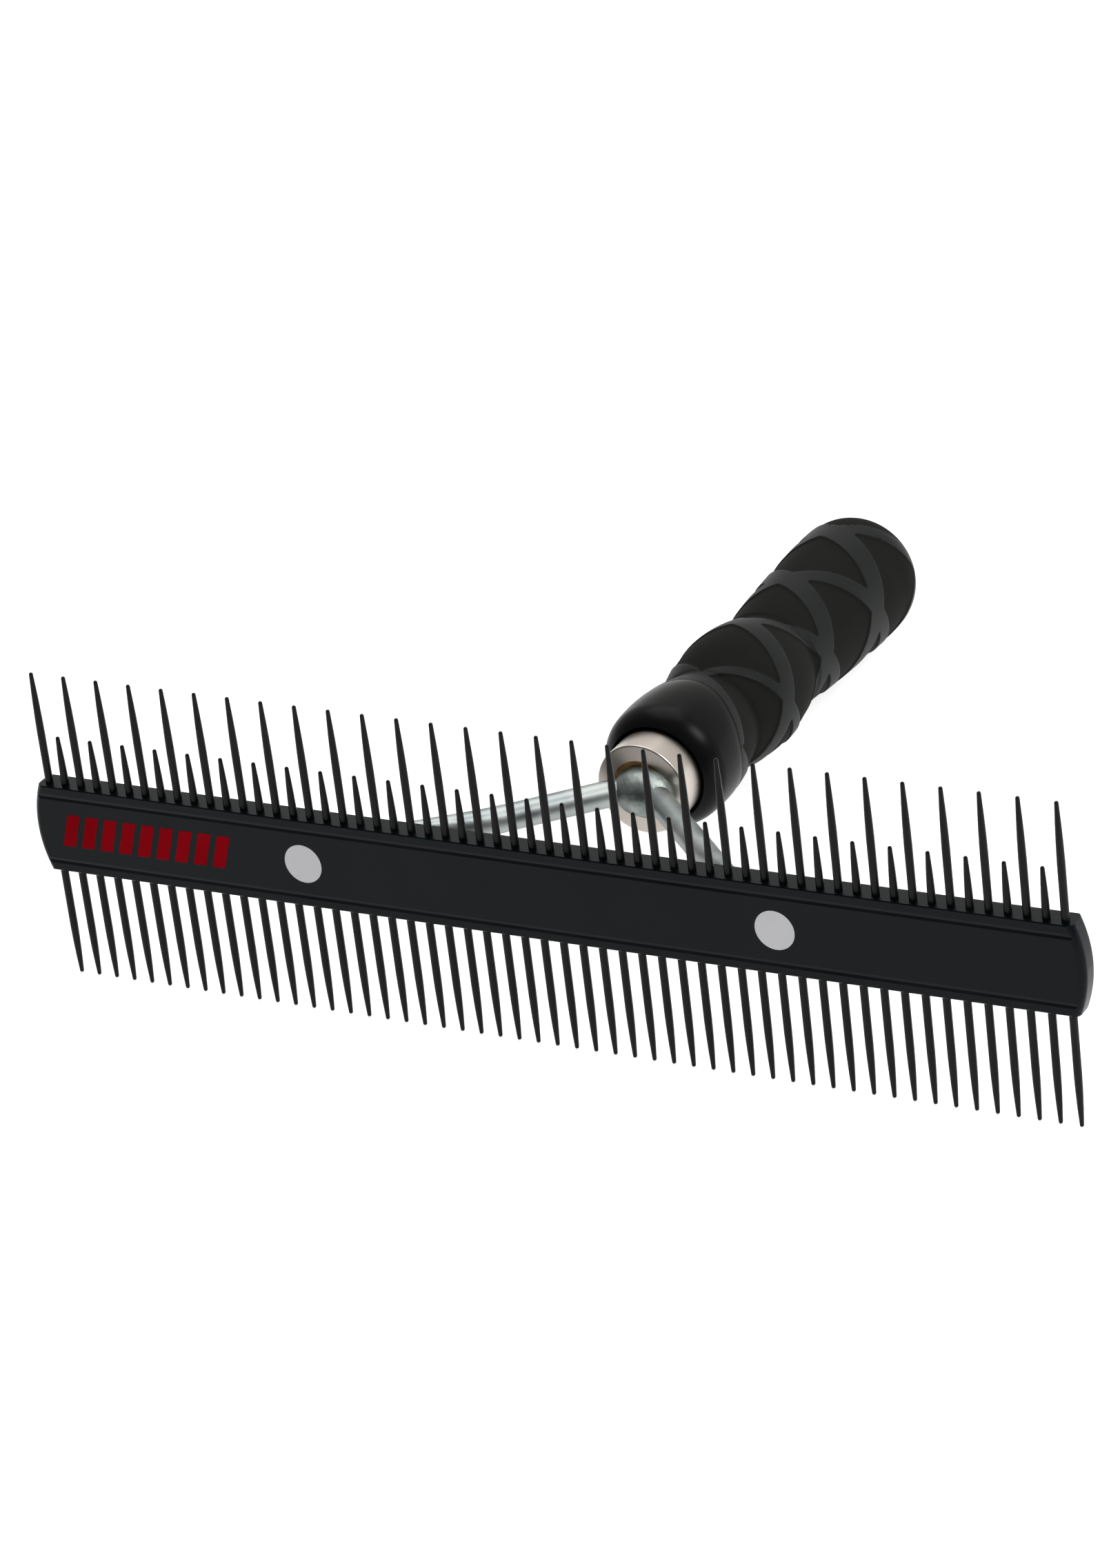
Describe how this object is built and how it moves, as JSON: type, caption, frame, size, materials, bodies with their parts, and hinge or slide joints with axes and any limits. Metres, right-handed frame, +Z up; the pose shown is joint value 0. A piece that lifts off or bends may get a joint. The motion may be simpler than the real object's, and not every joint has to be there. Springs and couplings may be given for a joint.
{
  "type": "grooming comb",
  "caption": "Two-edged pin comb for raking out and fluffing an animal's coat: a flat bar with steel pins along both edges, on a Y-shaped fork and a rubber-gripped handle.",
  "frame": {"origin": "on the table under the middle of the comb's box, as it lies on its lower pins' tips and the underside of its grip", "axes": "+X along the bar to the right of a person facing its front, +Y towards the handle's butt, +Z up, the side of the long and short pins"},
  "size_m": [0.2284, 0.16, 0.0674],
  "materials": {
    "black_anodised": "satin black anodised",
    "black_pin_steel": "black finish, semi-gloss",
    "rivet_steel": "satin",
    "zinc_plate": "bright zinc plated, slightly blue",
    "nickel_plate": "nickel plated, semi-bright",
    "braze_metal": "as brazed",
    "grip_rubber": "matte black, moulded bands",
    "core_plastic": "not seen"
  },
  "bodies": {
    "root": {"comb_bar": "black_anodised", "upper_long_pins": "black_pin_steel", "upper_short_pins": "black_pin_steel", "lower_pins": "black_pin_steel", "left_rivet": "rivet_steel", "right_rivet": "rivet_steel", "left_fork_leg": "zinc_plate", "right_fork_leg": "zinc_plate", "crotch_weld": "zinc_plate", "ferrule_braze": "braze_metal", "ferrule": "nickel_plate", "handle_core": "core_plastic", "grip_sleeve": "grip_rubber"}
  },
  "joints": []
}
